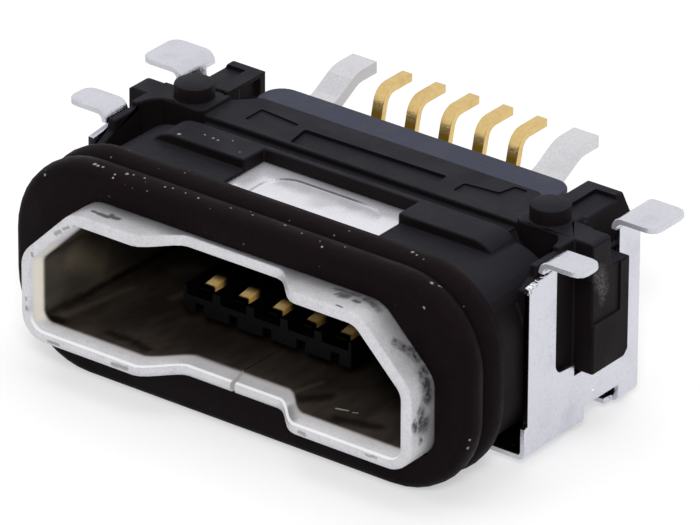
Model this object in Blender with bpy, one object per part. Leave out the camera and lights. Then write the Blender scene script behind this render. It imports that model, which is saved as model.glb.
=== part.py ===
"""Sealed micro-B receptacle for surface mounting, lying with its solder side up.

The socket frame has its origin on the lip's front plane, at the middle of the mouth: X runs
across the mouth, Y from the mouth to the solder tails, Z towards the circuit board. Lengths
below are in millimetres; every vertex is turned into metres as its mesh is made.
"""

import math

import bmesh
import bpy

MM = 0.001

# Clearance between pieces that touch on the real socket
FIT = 0.02

# Plug cavity of the micro-B standard
CAVITY_WIDTH = 6.90
CAVITY_HEIGHT = 1.85
CAVITY_CHAMFER = 0.82
CAVITY_CORNER = 0.16

# Inner shell: one rolled sheet with its seam under the mouth
SHELL_SHEET = 0.27
CHAMFER_SOFTENING = 0.20
LEAD_IN_DEPTH = 0.30
LEAD_IN_FLARE = 0.085
LIP_ROUND = 0.07
LIP_CUT = 0.50
LIP_CUT_HALF = 0.85
LIP_WING_START = 1.55
LIP_CUT_STEPS = 7
SEAM_GAP = 0.03
SEAM_NICK_WIDTH = 0.10
SEAM_NICK_DEPTH = 0.30
DIMPLE_WIDTH = 2.20
DIMPLE_FRONT = 1.85
DIMPLE_REAR = 3.05
DIMPLE_CORNER = 0.45
DIMPLE_DEPTH = 0.03
DIMPLE_WALL_SLOPE = 0.4

# Solder plane and the pieces that reach it
BOARD_PLANE = 1.50
TAIL_TIP = 6.60
GROUND_TAIL_SPACING = 4.27
GROUND_TAIL_WIDTH = 0.47
GROUND_TAIL_SHEET = 0.20
GROUND_TAIL_BEND = 0.45
GROUND_TAIL_FOOT = 0.48
GROUND_TAIL_RISE = 0.55

# Contacts
CONTACT_COUNT = 5
CONTACT_PITCH = 0.65
CONTACT_WIDTH = 0.20
CONTACT_SHEET = 0.14
CONTACT_TOP = -0.17
CONTACT_FRONT = 1.50
CONTACT_NOSE_LENGTH = 0.36
CONTACT_NOSE_DROP = 0.06
CONTACT_RISER_LOW = 5.55
CONTACT_RISER_TOP = 5.95
CONTACT_BEND = 0.18

# Tongue
TONGUE_FRONT = 1.35
TONGUE_TOP = -0.17
TONGUE_BOTTOM = -0.61
TONGUE_WALL = 0.15
TONGUE_END_WALL = 0.06
TONGUE_NOTCH_WIDTH = 0.15
TONGUE_NOTCH_HEIGHT = 0.17
TONGUE_NOTCH_LENGTH = 0.40
TONGUE_BASE_LENGTH = 0.80

# Seal ring
RING_WIDTH = 8.70
RING_HEIGHT = 3.60
RING_DROP = 0.09
RING_CORNER = 1.45
RING_FRONT = 0.60
RING_LENGTH = 1.05
RING_RIBS = 2
RING_GROOVE = 0.16

# Housing
BODY_TOP = 1.38
BODY_FRONT = 3.64
BODY_REAR = 5.33
SHOULDER_WIDTH = 0.14
SHOULDER_SWEEP = 0.42
SHOULDER_PROFILE = ((2.33, 1.07), (2.60, 1.20), (2.64, 1.38))
FLOOR_THICKNESS = 0.38
BARREL_TOP_WALL = 0.06
BARREL_CORNER = 0.95
PAD_HEIGHT = 0.17
PAD_FRONT = 2.68
PAD_REAR = 3.30
PAD_HALF_SPAN = 3.50
PAD_END_SLOPE = 0.38
PAD_END_ROUND = 0.50
WINDOW_WIDTH = 2.94
WINDOW_REAR = 3.18
GROOVE_START = 2.95
GROOVE_FLOOR = 0.30
PEG_DIAMETER = 0.65
PEG_ROUND = 0.05
PEG_SPACING = 6.82
PEG_PLACE = 3.92
PEG_OVER_BOARD = 0.23
PEG_SEAT_UNDER_BOARD = 0.035
PEG_SEAT_INSIDE = 0.42
PEG_SEAT_FRONT = 3.57
PEG_SEAT_REAR = 4.30
POST_INNER = 3.10
POST_FRONT = 4.36
POST_WIDTH = 0.64
POST_SLOPE = 0.28
SIDE_NOTCH_FRONT = 4.08
SIDE_NOTCH_FLOOR = 0.95
POST_SIDE_SINK = 0.08
POST_POCKET_DEPTH = 0.07
POST_POCKET_INSIDE = 0.26
POST_POCKET_REAR = 0.18
WIDE_RECESS_DEPTH = 0.06
WIDE_RECESS = ((-1.39, 3.72), (1.28, 3.72), (1.22, 4.25), (-1.47, 4.20))
STEP_DEPTH = 0.03
RECESS_CORNER = 0.04
RIGHT_STEP = ((1.575, 3.92), (2.50, 3.92), (2.50, 4.60), (2.25, 4.60), (2.18, 4.29), (1.575, 4.22))
LEFT_STEP = ((-2.43, 3.92), (-1.64, 3.92), (-1.64, 4.28), (-2.43, 4.36))
LUG_FRONT = 3.58
LUG_LENGTH = 0.92
LUG_REACH = 0.26
LUG_BOTTOM = -0.73
LUG_TOP = 1.15
LUG_POCKET_DEPTH = 0.03
LUG_CORNER = 0.10
BLOCK_LENGTH = 0.46
BLOCK_ROUND = 0.12

# Rear insulator
INSULATOR_WIDTH = 5.74
INSULATOR_LENGTH = 0.64
INSULATOR_CORNER = 0.34
INSULATOR_UNDER_BODY = 0.07
BAY_CORNER_CUT = 0.42

# Cover: one folded sheet
COVER_SHEET = 0.10
COVER_WIDTH = 8.44
COVER_FRONT = 2.23
COVER_REAR = 5.14
COVER_FOLD = 0.04
COVER_BEND = 0.10
COVER_SIDE_SET_BACK = 0.065
COVER_SET_BACK_LOW = -1.17
COVER_SIDE_TOP = (1.165, 1.24)
FRONT_NECK = 2.87
COVER_WINDOW_FRONT = 3.00
COVER_WINDOW_REAR = 4.60
COVER_WINDOW_BOTTOM = -0.56
COVER_WINDOW_CORNER = 0.18
LUG_NOTCH_LEAD = 0.10
COVER_RELIEF_FRONT = 3.76
COVER_RELIEF_LENGTH = 0.88
COVER_RELIEF_HEIGHT = 0.31
COVER_RELIEF_SET_BACK = 0.14
FLOOR_NOTCH_LENGTH = 0.70
FLOOR_NOTCH_DEPTH = 0.36
FRONT_FOOT_REACH = 0.70
REAR_FOOT_REACH = 0.72
FRONT_FOOT = (2.63, 3.18)
REAR_FOOT = (4.49, 5.36)
FOOT_CORNER = 0.18

ARC_STEPS = 6
FINE_ARC_STEPS = 10

# Sizes worked out from the values above
SHELL_HALF_WIDTH = CAVITY_WIDTH / 2 + SHELL_SHEET
SHELL_HALF_HEIGHT = CAVITY_HEIGHT / 2 + SHELL_SHEET
RING_BOTTOM = -RING_HEIGHT / 2 - RING_DROP
RING_REAR = RING_FRONT + RING_LENGTH
BARREL_FRONT = RING_REAR + FIT
BARREL_TOP = SHELL_HALF_HEIGHT + FIT + BARREL_TOP_WALL
BODY_BOTTOM = -SHELL_HALF_HEIGHT - FIT - FLOOR_THICKNESS
COVER_INNER_HALF = COVER_WIDTH / 2 - COVER_SHEET
BODY_HALF_WIDTH = COVER_INNER_HALF - FIT
COVER_TOP_OF_FLOOR = BODY_BOTTOM - FIT
COVER_BOTTOM = COVER_TOP_OF_FLOOR - COVER_SHEET
SEAT_TOP = BOARD_PLANE - PEG_SEAT_UNDER_BOARD
NECK_TOP = BOARD_PLANE - COVER_BEND - COVER_SHEET
INSULATOR_FRONT = BODY_REAR - INSULATOR_LENGTH
SHELL_REAR = INSULATOR_FRONT - FIT
TONGUE_HALF_WIDTH = (CONTACT_COUNT * CONTACT_PITCH - TONGUE_WALL) / 2 + TONGUE_END_WALL
SLOT_FLOOR = CONTACT_TOP - CONTACT_SHEET - FIT
GROUND_TAIL_Z = SHELL_HALF_HEIGHT - GROUND_TAIL_SHEET / 2


def clear_scene():
    for item in list(bpy.data.objects):
        bpy.data.objects.remove(item, do_unlink=True)


def material(name, colour, roughness, metallic):
    made = bpy.data.materials.new(name)
    made.use_nodes = True
    surface = made.node_tree.nodes["Principled BSDF"]
    surface.inputs["Base Color"].default_value = (*colour, 1.0)
    surface.inputs["Roughness"].default_value = roughness
    surface.inputs["Metallic"].default_value = metallic
    made.diffuse_color = (*colour, 1.0)
    return made


def add_object(name, mesh_edit, finish=None, smooth_under=None):
    """Turns an edit mesh in millimetres into an object in metres, under the socket's frame."""
    bmesh.ops.recalc_face_normals(mesh_edit, faces=mesh_edit.faces)
    bmesh.ops.scale(mesh_edit, vec=(MM, MM, MM), verts=mesh_edit.verts)
    mesh = bpy.data.meshes.new(name)
    mesh_edit.to_mesh(mesh)
    mesh_edit.free()
    made = bpy.data.objects.new(name, mesh)
    bpy.context.collection.objects.link(made)
    made.parent = bpy.data.objects["socket_frame"]
    if finish:
        mesh.materials.append(finish)
    if smooth_under:
        mesh.shade_smooth()
        mesh.set_sharp_from_angle(angle=math.radians(smooth_under))
    return made


def combine(target, tool, operation):
    """Cuts or joins a tool shape, which stays in the file as a hidden wire."""
    tool.hide_render = True
    tool.hide_set(True)
    tool.display_type = "WIRE"
    step = target.modifiers.new(tool.name, "BOOLEAN")
    step.operation = operation
    step.object = tool
    step.solver = "EXACT"


def cut(target, *tools):
    for tool in tools:
        combine(target, tool, "DIFFERENCE")


def join(target, *tools):
    for tool in tools:
        combine(target, tool, "UNION")


def rounded(corners, arc_steps=ARC_STEPS):
    """Points of a closed outline whose corners (a, b, radius) are rounded by arcs."""
    points = []
    count = len(corners)
    for i, (a, b, radius) in enumerate(corners):
        if radius <= 0:
            points.append((a, b))
            continue
        before = corners[i - 1]
        after = corners[(i + 1) % count]
        to_before = unit(before[0] - a, before[1] - b)
        to_after = unit(after[0] - a, after[1] - b)
        dot = to_before[0] * to_after[0] + to_before[1] * to_after[1]
        inside = math.acos(max(-1.0, min(1.0, dot)))
        reach = radius / math.tan(inside / 2)
        middle = unit(to_before[0] + to_after[0], to_before[1] + to_after[1])
        centre_away = radius / math.sin(inside / 2)
        centre = (a + middle[0] * centre_away, b + middle[1] * centre_away)
        start = (a + to_before[0] * reach - centre[0], b + to_before[1] * reach - centre[1])
        end = (a + to_after[0] * reach - centre[0], b + to_after[1] * reach - centre[1])
        first = math.atan2(start[1], start[0])
        turn = math.atan2(end[1], end[0]) - first
        turn = (turn + math.pi) % (2 * math.pi) - math.pi
        steps = max(2, round(arc_steps * abs(turn) / (math.pi / 2)))
        for k in range(steps + 1):
            angle = first + turn * k / steps
            points.append((centre[0] + radius * math.cos(angle), centre[1] + radius * math.sin(angle)))
    return points


def unit(a, b):
    length = math.hypot(a, b)
    return (a / length, b / length)


def rounded_box(left, right, low, high, radius=0.0):
    corners = [(left, low, radius), (right, low, radius), (right, high, radius), (left, high, radius)]
    return rounded(corners, FINE_ARC_STEPS)


def on_plane(axis, at, a, b):
    """A point from two outline coordinates: YZ for X, XZ for Y, XY for Z."""
    return {"X": (at, a, b), "Y": (a, at, b), "Z": (a, b, at)}[axis]


def loft(loops, closed=False):
    """Bridges loops of equal count with quads, and caps the ends or closes them to a ring."""
    edit = bmesh.new()
    rows = [[edit.verts.new(point) for point in loop] for loop in loops]
    pairs = list(zip(rows, rows[1:]))
    if closed:
        pairs.append((rows[-1], rows[0]))
    for near, far in pairs:
        for i in range(len(near)):
            j = (i + 1) % len(near)
            edit.faces.new((near[i], near[j], far[j], far[i]))
    if not closed:
        edit.faces.new(rows[0])
        edit.faces.new(rows[-1])
    return edit


def prism(outline, axis, start, end):
    return loft([[on_plane(axis, at, a, b) for a, b in outline] for at in (start, end)])


def box(x, y, z):
    return prism([(x[0], y[0]), (x[1], y[0]), (x[1], y[1]), (x[0], y[1])], "Z", *z)


def strip_outline(path, sheet):
    """The side outline of a bent strip: a centre line (y, z, bend radius) given half a sheet each way."""
    centre = [path[0][:2]]
    for before, (a, b, radius), after in zip(path, path[1:], path[2:]):
        piece = rounded([(*before[:2], 0), (a, b, radius), (*after[:2], 0)])
        centre += piece[1:-1]
    centre.append(path[-1][:2])
    left, right = [], []
    for i, (a, b) in enumerate(centre):
        back = centre[max(i - 1, 0)]
        ahead = centre[min(i + 1, len(centre) - 1)]
        along = unit(ahead[0] - back[0], ahead[1] - back[1])
        left.append((a - along[1] * sheet / 2, b + along[0] * sheet / 2))
        right.append((a + along[1] * sheet / 2, b - along[0] * sheet / 2))
    return left + right[::-1]


def smooth_step(value, low, high):
    share = max(0.0, min(1.0, (value - low) / (high - low)))
    return share * share * (3 - 2 * share)


def lip_setback(x):
    """How far the lip's edge stands back at x: the middle is cut back between two wings."""
    return LIP_CUT * (1 - smooth_step(abs(x), LIP_CUT_HALF, LIP_WING_START))


def shell_section(offset):
    """The cavity outline grown by an offset, with stations where the lip's cut needs them."""
    half_width = CAVITY_WIDTH / 2 + offset
    half_height = CAVITY_HEIGHT / 2 + offset
    leg = CAVITY_CHAMFER + (2 - math.sqrt(2)) * offset
    soft = CHAMFER_SOFTENING + offset
    corner = CAVITY_CORNER + offset
    span = LIP_WING_START - LIP_CUT_HALF
    stations = [LIP_CUT_HALF + span * k / LIP_CUT_STEPS for k in range(LIP_CUT_STEPS + 1)]
    across = [-s for s in reversed(stations)] + stations
    top = [(x, half_height) for x in reversed(across)]
    bottom = [(x, -half_height) for x in across]
    left = rounded([
        (0, half_height, 0),
        (-half_width + leg, half_height, soft),
        (-half_width, half_height - leg, soft),
        (-half_width, -half_height, corner),
        (0, -half_height, 0),
    ], FINE_ARC_STEPS)[1:-1]
    right = [(-x, z) for x, z in reversed(left)]
    return top + left + bottom + right


def shell_loop(offset, depth, follows_lip):
    return [(x, depth + (lip_setback(x) if follows_lip else 0), z) for x, z in shell_section(offset)]


def shell_prism(offset, start, end):
    return loft([shell_loop(offset, start, False), shell_loop(offset, end, False)])


def make_inner_shell(finish):
    rounding = [math.radians(angle) for angle in (0, 30, 60, 90)]
    loops = [shell_loop(SHELL_SHEET, SHELL_REAR, False)]
    for angle in rounding:
        inset = LIP_ROUND * (1 - math.cos(angle))
        loops.append(shell_loop(SHELL_SHEET - inset, LIP_ROUND * (1 - math.sin(angle)), True))
    for angle in reversed(rounding):
        inset = LIP_ROUND * (1 - math.cos(angle)) / 2
        loops.append(shell_loop(LEAD_IN_FLARE + inset, LIP_ROUND * (1 - math.sin(angle)), True))
    loops.append(shell_loop(0, LEAD_IN_DEPTH, True))
    loops.append(shell_loop(0, SHELL_REAR, False))
    shell = add_object("inner_shell", loft(loops, closed=True), finish, 32)
    join(shell, *make_ground_tails(), make_dimple_bulge())
    cut(shell, make_dimple_pocket(), make_seam_cutter())


def make_ground_tails():
    outline = strip_outline(ground_tail_path(), GROUND_TAIL_SHEET)
    tails = []
    for side, name in ((-1, "left"), (1, "right")):
        middle = side * GROUND_TAIL_SPACING / 2
        edges = (middle - GROUND_TAIL_WIDTH / 2, middle + GROUND_TAIL_WIDTH / 2)
        tails.append(add_object(f"ground_tail_{name}", prism(outline, "X", *edges)))
    return tails


def ground_tail_path():
    foot_z = BOARD_PLANE - GROUND_TAIL_SHEET / 2
    foot_start = TAIL_TIP - GROUND_TAIL_FOOT
    return [
        (SHELL_REAR - SHELL_SHEET, GROUND_TAIL_Z, 0),
        (foot_start - GROUND_TAIL_RISE, GROUND_TAIL_Z, GROUND_TAIL_BEND),
        (foot_start, foot_z, GROUND_TAIL_BEND),
        (TAIL_TIP, foot_z, 0),
    ]


def dimple_outline(inset):
    half = DIMPLE_WIDTH / 2 - inset
    return rounded_box(-half, half, DIMPLE_FRONT + inset, DIMPLE_REAR - inset, DIMPLE_CORNER - inset)


def make_dimple_bulge():
    inner_top = CAVITY_HEIGHT / 2
    inset = SHELL_SHEET / 2
    return add_object(
        "dimple_bulge",
        prism(dimple_outline(inset), "Z", inner_top - DIMPLE_DEPTH, inner_top + SHELL_SHEET / 2),
    )


def make_dimple_pocket():
    slope = DIMPLE_DEPTH * DIMPLE_WALL_SLOPE
    levels = (
        (SHELL_HALF_HEIGHT - DIMPLE_DEPTH, slope),
        (SHELL_HALF_HEIGHT, 0),
        (SHELL_HALF_HEIGHT + DIMPLE_DEPTH, 0),
    )
    loops = [[(x, y, z) for x, y in dimple_outline(inset)] for z, inset in levels]
    return add_object("dimple_pocket", loft(loops))


def make_seam_cutter():
    gap = SEAM_GAP / 2
    nick = SEAM_NICK_WIDTH / 2
    front = LIP_CUT - LIP_ROUND
    outline = [
        (-nick, front),
        (nick, front),
        (gap, LIP_CUT + SEAM_NICK_DEPTH),
        (gap, SHELL_REAR + SHELL_SHEET),
        (-gap, SHELL_REAR + SHELL_SHEET),
        (-gap, LIP_CUT + SEAM_NICK_DEPTH),
    ]
    below = -SHELL_HALF_HEIGHT - SHELL_SHEET
    return add_object("seam_cutter", prism(outline, "Z", below, -CAVITY_HEIGHT / 2 + SHELL_SHEET))


def ring_loop(inset, y):
    half_width = RING_WIDTH / 2 - inset
    half_height = RING_HEIGHT / 2 - inset
    corners = rounded_box(-half_width, half_width, -half_height, half_height, RING_CORNER - inset)
    return [(x, y, z - RING_DROP) for x, z in corners]


def make_seal_ring(finish):
    """Rounded ribs side by side, each half an ellipse in section, moulded on one sleeve."""
    loops = []
    rib_length = RING_LENGTH / RING_RIBS
    for rib in range(RING_RIBS):
        for step in range(1 if rib else 0, ARC_STEPS + 1):
            angle = math.pi * step / ARC_STEPS
            y = RING_FRONT + rib_length * (rib + (1 - math.cos(angle)) / 2)
            loops.append(ring_loop(RING_GROOVE * (1 - math.sin(angle)), y))
    ring = add_object("seal_ring", loft(loops), finish, 50)
    bore = add_object("ring_bore", shell_prism(SHELL_SHEET + FIT, 0, RING_REAR + SHELL_SHEET))
    cut(ring, bore)


def make_housing(finish):
    """The moulding over the shell: a barrel behind the seal, then the body that the cover holds."""
    body = rounded_box(-BODY_HALF_WIDTH, BODY_HALF_WIDTH, BODY_BOTTOM, BODY_TOP)
    housing = add_object("housing", prism(body, "Y", BODY_FRONT, BODY_REAR), finish, 32)
    barrel = rounded_box(-BODY_HALF_WIDTH, BODY_HALF_WIDTH, BODY_BOTTOM, BARREL_TOP, BARREL_CORNER)
    barrel_rear = BODY_FRONT + FLOOR_THICKNESS
    join(housing, add_object("barrel", prism(barrel, "Y", BARREL_FRONT, barrel_rear)), make_barrel_pads())
    cut(housing, *[make_groove_cutter(side) for side in (-1, 1)])
    join(housing, *[piece for side in (-1, 1) for piece in make_side_features(side)])
    shell_room = shell_prism(SHELL_SHEET + FIT, 0, SHELL_REAR + FIT)
    cut(
        housing,
        add_object("shell_room", shell_room),
        make_insulator_room(),
        make_window_cutter(),
        *make_recess_cutters(),
        *[piece for side in (-1, 1) for piece in make_side_cutters(side)],
        *[make_post_pocket(side) for side in (-1, 1)],
        *[make_lug_pocket(side) for side in (-1, 1)],
    )


def make_barrel_pads():
    """One raised bar across the barrel, with sloped ends; the window's cutter splits its front."""
    top = BARREL_TOP + PAD_HEIGHT
    low = BARREL_TOP - 2 * PAD_HEIGHT
    outline = rounded([
        (-PAD_HALF_SPAN, low, 0),
        (PAD_HALF_SPAN, low, 0),
        (PAD_HALF_SPAN - PAD_END_SLOPE, top, PAD_END_ROUND),
        (PAD_END_SLOPE - PAD_HALF_SPAN, top, PAD_END_ROUND),
    ])
    return add_object("barrel_pads", prism(outline, "Y", PAD_FRONT, PAD_REAR))


def make_groove_cutter(side):
    """The deep gap between the barrel's corner and the body, over the shell's chamfer."""
    name = "left" if side < 0 else "right"
    edge = BODY_HALF_WIDTH - SHOULDER_WIDTH
    outline = [
        (side * GROOVE_START, BOARD_PLANE), (side * GROOVE_START, BARREL_TOP - FIT),
        (side * edge, GROOVE_FLOOR), (side * edge, BOARD_PLANE),
    ]
    return add_object(f"groove_{name}", prism(outline, "Y", PAD_REAR, BODY_FRONT))


def make_side_features(side):
    """The locating peg and its seat, the rear post and the lug that reaches through the cover."""
    name = "left" if side < 0 else "right"
    peg_x = side * PEG_SPACING / 2
    peg_radius = PEG_DIAMETER / 2
    peg = bmesh.new()
    bmesh.ops.create_cone(peg, cap_ends=True, segments=4 * ARC_STEPS, radius1=peg_radius,
                          radius2=peg_radius, depth=BOARD_PLANE + PEG_OVER_BOARD)
    bmesh.ops.translate(peg, verts=peg.verts, vec=(peg_x, PEG_PLACE, (BOARD_PLANE + PEG_OVER_BOARD) / 2))
    rim = [edge for edge in peg.edges if min(v.co.z for v in edge.verts) > BOARD_PLANE]
    bmesh.ops.bevel(peg, geom=rim, offset=PEG_ROUND, segments=2, profile=0.5, affect="EDGES")
    seat_start = peg_x - side * PEG_SEAT_INSIDE
    seat = prism([
        (seat_start, BODY_FRONT), (peg_x - side * peg_radius, PEG_SEAT_FRONT),
        (side * BODY_HALF_WIDTH, PEG_SEAT_FRONT), (side * BODY_HALF_WIDTH, PEG_SEAT_REAR),
        (seat_start, PEG_SEAT_REAR),
    ], "Z", 0, SEAT_TOP)
    post_x = sorted((side * POST_INNER, side * BODY_HALF_WIDTH))
    post = box(post_x, (POST_FRONT, BODY_REAR), (0, SEAT_TOP))
    shoulder_x = sorted((side * (BODY_HALF_WIDTH - SHOULDER_WIDTH), side * BODY_HALF_WIDTH))
    rear = BODY_FRONT + SHOULDER_WIDTH
    front, top = SHOULDER_PROFILE[0][0], SHOULDER_PROFILE[-1][1]
    shoulder = prism([(front, 0), *SHOULDER_PROFILE, (rear, top), (rear, 0)], "X", *shoulder_x)
    edge = BODY_HALF_WIDTH - SHOULDER_WIDTH
    inside = edge - 2 * SHOULDER_SWEEP
    front = BODY_FRONT - SHOULDER_SWEEP
    sweep = rounded([
        (side * BODY_HALF_WIDTH, rear, 0), (side * inside, rear, 0), (side * inside, BODY_FRONT, 0),
        (side * edge, BODY_FRONT, SHOULDER_SWEEP), (side * edge, front - FIT, 0),
        (side * BODY_HALF_WIDTH, front - FIT, 0),
    ])
    return [
        add_object(f"sweep_{name}", prism(sweep, "Z", 0, SEAT_TOP)),
        add_object(f"peg_{name}", peg),
        add_object(f"peg_seat_{name}", seat),
        add_object(f"post_{name}", post),
        add_object(f"shoulder_{name}", shoulder),
        make_lug(side, name),
    ]


def make_side_cutters(side):
    """The post's sloped flank and low notch, the cut rear corner, a sink and room over the cover's relief."""
    name = "left" if side < 0 else "right"
    flank = POST_INNER + POST_WIDTH
    foot_of_flank = flank + POST_SLOPE
    top = SEAT_TOP + POST_WIDTH
    outline = [
        (side * flank, SEAT_TOP), (side * foot_of_flank, SIDE_NOTCH_FLOOR),
        (side * COVER_WIDTH, SIDE_NOTCH_FLOOR), (side * COVER_WIDTH, top), (side * flank, top),
    ]
    rear = BODY_REAR + POST_WIDTH
    corner_x = sorted((side * foot_of_flank, side * COVER_WIDTH))
    corner = box(corner_x, (COVER_REAR - FIT, rear), (COVER_BOTTOM, top))
    sink_x = sorted((0, side * (POST_INNER + POST_SIDE_SINK)))
    inset = 2 * POST_SIDE_SINK
    sink_z = (BODY_TOP - POST_WIDTH / 2, SEAT_TOP - POST_SIDE_SINK)
    sink = box(sink_x, (INSULATOR_FRONT, BODY_REAR - inset), sink_z)
    relief_x = sorted((side * (COVER_WIDTH / 2 - FLOOR_NOTCH_DEPTH), side * COVER_WIDTH))
    relief_y = (COVER_RELIEF_FRONT - FIT, COVER_RELIEF_FRONT + COVER_RELIEF_LENGTH + FIT)
    relief_top = COVER_BOTTOM + COVER_RELIEF_HEIGHT + FIT
    relief = box(relief_x, relief_y, (COVER_BOTTOM, relief_top))
    return [
        add_object(f"fold_relief_{name}", relief),
        add_object(f"side_notch_{name}", prism(outline, "Y", SIDE_NOTCH_FRONT, rear)),
        add_object(f"rear_corner_{name}", corner),
        add_object(f"post_sink_{name}", sink),
    ]


def make_lug(side, name):
    """The lug, a plate with one cut corner, and the rounded block on its front half."""
    reach = COVER_WIDTH / 2 + LUG_REACH
    root = BODY_HALF_WIDTH - COVER_SHEET
    rear = LUG_FRONT + LUG_LENGTH
    plate = prism([
        (LUG_FRONT, LUG_BOTTOM), (rear - LUG_CORNER, LUG_BOTTOM), (rear, LUG_BOTTOM + LUG_CORNER),
        (rear, LUG_TOP), (LUG_FRONT, LUG_TOP),
    ], "X", *sorted((side * root, side * reach)))
    block = rounded([
        (side * root, LUG_BOTTOM, 0), (side * reach, LUG_BOTTOM, 0),
        (side * reach, SEAT_TOP, BLOCK_ROUND), (side * root, SEAT_TOP, 0),
    ])
    lug = add_object(f"lug_{name}", plate)
    join(lug, add_object(f"block_{name}", prism(block, "Y", LUG_FRONT, LUG_FRONT + BLOCK_LENGTH)))
    return lug


def make_lug_pocket(side):
    """A shallow moulding sink in the upper half of the lug's outer face."""
    reach = COVER_WIDTH / 2 + LUG_REACH
    name = "left" if side < 0 else "right"
    x = sorted((side * (reach - LUG_POCKET_DEPTH), side * (reach + LUG_REACH)))
    wide = LUG_LENGTH / 4
    y = (LUG_FRONT - FIT, LUG_FRONT + LUG_LENGTH - wide)
    middle = (LUG_BOTTOM + LUG_TOP) / 2 - LUG_CORNER
    return add_object(f"lug_pocket_{name}", box(x, y, (middle, LUG_TOP + LUG_REACH)))


def make_post_pocket(side):
    """A step in the post's top that leaves a rim along its inner side and its rear."""
    name = "left" if side < 0 else "right"
    x = sorted((side * (POST_INNER + POST_POCKET_INSIDE), side * BODY_HALF_WIDTH))
    y = (PEG_SEAT_REAR + FIT, BODY_REAR - POST_POCKET_REAR)
    return add_object(f"post_pocket_{name}", box(x, y, (SEAT_TOP - POST_POCKET_DEPTH, BOARD_PLANE)))


def make_window_cutter():
    """The opening behind the seal through which the bright shell shows."""
    x = (-WINDOW_WIDTH / 2, WINDOW_WIDTH / 2)
    y = (RING_FRONT, WINDOW_REAR)
    return add_object("window_cutter", box(x, y, (SHELL_HALF_HEIGHT - SHELL_SHEET, BOARD_PLANE)))


def make_recess_cutters():
    """The sunk field in the middle of the body's top, and a shallow step on each side of it."""
    fields = (
        ("wide_recess", WIDE_RECESS, WIDE_RECESS_DEPTH),
        ("right_step", RIGHT_STEP, STEP_DEPTH),
        ("left_step", LEFT_STEP, STEP_DEPTH),
    )
    cutters = []
    for name, corners, depth in fields:
        outline = rounded([(x, y, RECESS_CORNER) for x, y in corners])
        cutters.append(add_object(name, prism(outline, "Z", BODY_TOP - depth, BOARD_PLANE)))
    return cutters


def make_insulator_room():
    """The housing's rear bay between the posts, with its front corners cut across."""
    half = POST_INNER
    front = INSULATOR_FRONT - FIT
    rear = BODY_REAR + INSULATOR_LENGTH
    outline = [
        (-half, rear), (-half, front - BAY_CORNER_CUT), (BAY_CORNER_CUT - half, front),
        (half - BAY_CORNER_CUT, front), (half, front - BAY_CORNER_CUT), (half, rear),
    ]
    return add_object("insulator_room", prism(outline, "Z", -SHELL_HALF_HEIGHT, BOARD_PLANE + FIT))


def make_rear_insulator(finish):
    low = -SHELL_HALF_HEIGHT + FIT
    high = BODY_TOP - INSULATOR_UNDER_BODY
    half = INSULATOR_WIDTH / 2
    outline = rounded([
        (-half, INSULATOR_FRONT, INSULATOR_CORNER / 2), (half, INSULATOR_FRONT, INSULATOR_CORNER / 2),
        (half, BODY_REAR, INSULATOR_CORNER), (-half, BODY_REAR, INSULATOR_CORNER),
    ])
    insulator = add_object("rear_insulator", prism(outline, "Z", low, high), finish, 32)
    tunnels = [ground_tail_tunnel(side) for side in (-1, 1)]
    tunnels += [contact_tunnel(i, "rear") for i in range(CONTACT_COUNT)]
    cut(insulator, *tunnels)


def ground_tail_tunnel(side):
    name = "left" if side < 0 else "right"
    middle = side * GROUND_TAIL_SPACING / 2
    half = GROUND_TAIL_WIDTH / 2 + FIT
    z = (SHELL_HALF_HEIGHT - GROUND_TAIL_SHEET - FIT, SHELL_HALF_HEIGHT + FIT)
    y = (INSULATOR_FRONT - INSULATOR_LENGTH, BODY_REAR + INSULATOR_LENGTH)
    return add_object(f"tail_tunnel_{name}", box((middle - half, middle + half), y, z))


def contact_x(index):
    return (index - (CONTACT_COUNT - 1) / 2) * CONTACT_PITCH


def contact_tunnel(index, where):
    """Room for one contact's straight run."""
    middle = contact_x(index)
    half = CONTACT_WIDTH / 2 + FIT
    z = (CONTACT_TOP - CONTACT_SHEET - FIT, CONTACT_TOP + FIT)
    y = (TONGUE_FRONT + TONGUE_WALL, BODY_REAR + INSULATOR_LENGTH)
    return add_object(f"contact_tunnel_{where}_{index + 1}", box((middle - half, middle + half), y, z))


def make_contact(index, finish):
    """A strip with a coined nose that runs along the tongue, then leans up to its solder foot."""
    z = CONTACT_TOP - CONTACT_SHEET / 2
    foot_z = BOARD_PLANE - CONTACT_SHEET / 2
    bend = CONTACT_BEND + CONTACT_SHEET / 2
    path = [
        (CONTACT_FRONT, z, 0), (CONTACT_RISER_LOW, z, bend),
        (CONTACT_RISER_TOP, foot_z, bend), (TAIL_TIP, foot_z, 0),
    ]
    top, *others = strip_outline(path, CONTACT_SHEET)
    nose = [(top[0], top[1] - CONTACT_NOSE_DROP), (top[0] + CONTACT_NOSE_LENGTH, top[1])]
    outline = nose + others
    middle = contact_x(index)
    edges = (middle - CONTACT_WIDTH / 2, middle + CONTACT_WIDTH / 2)
    add_object(f"contact_{index + 1}", prism(outline, "X", *edges), finish, 32)


def make_tongue(finish):
    """A slab that reaches forward from a base which fills the shell's rear end."""
    half = TONGUE_HALF_WIDTH
    slab = box((-half, half), (TONGUE_FRONT, SHELL_REAR - FIT), (TONGUE_BOTTOM, TONGUE_TOP))
    tongue = add_object("tongue", slab, finish, 32)
    base = shell_prism(-FIT, SHELL_REAR - TONGUE_BASE_LENGTH, SHELL_REAR)
    join(tongue, add_object("tongue_base", base))
    cut(tongue, *[piece for i in range(CONTACT_COUNT) for piece in make_contact_room(i)])


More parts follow.
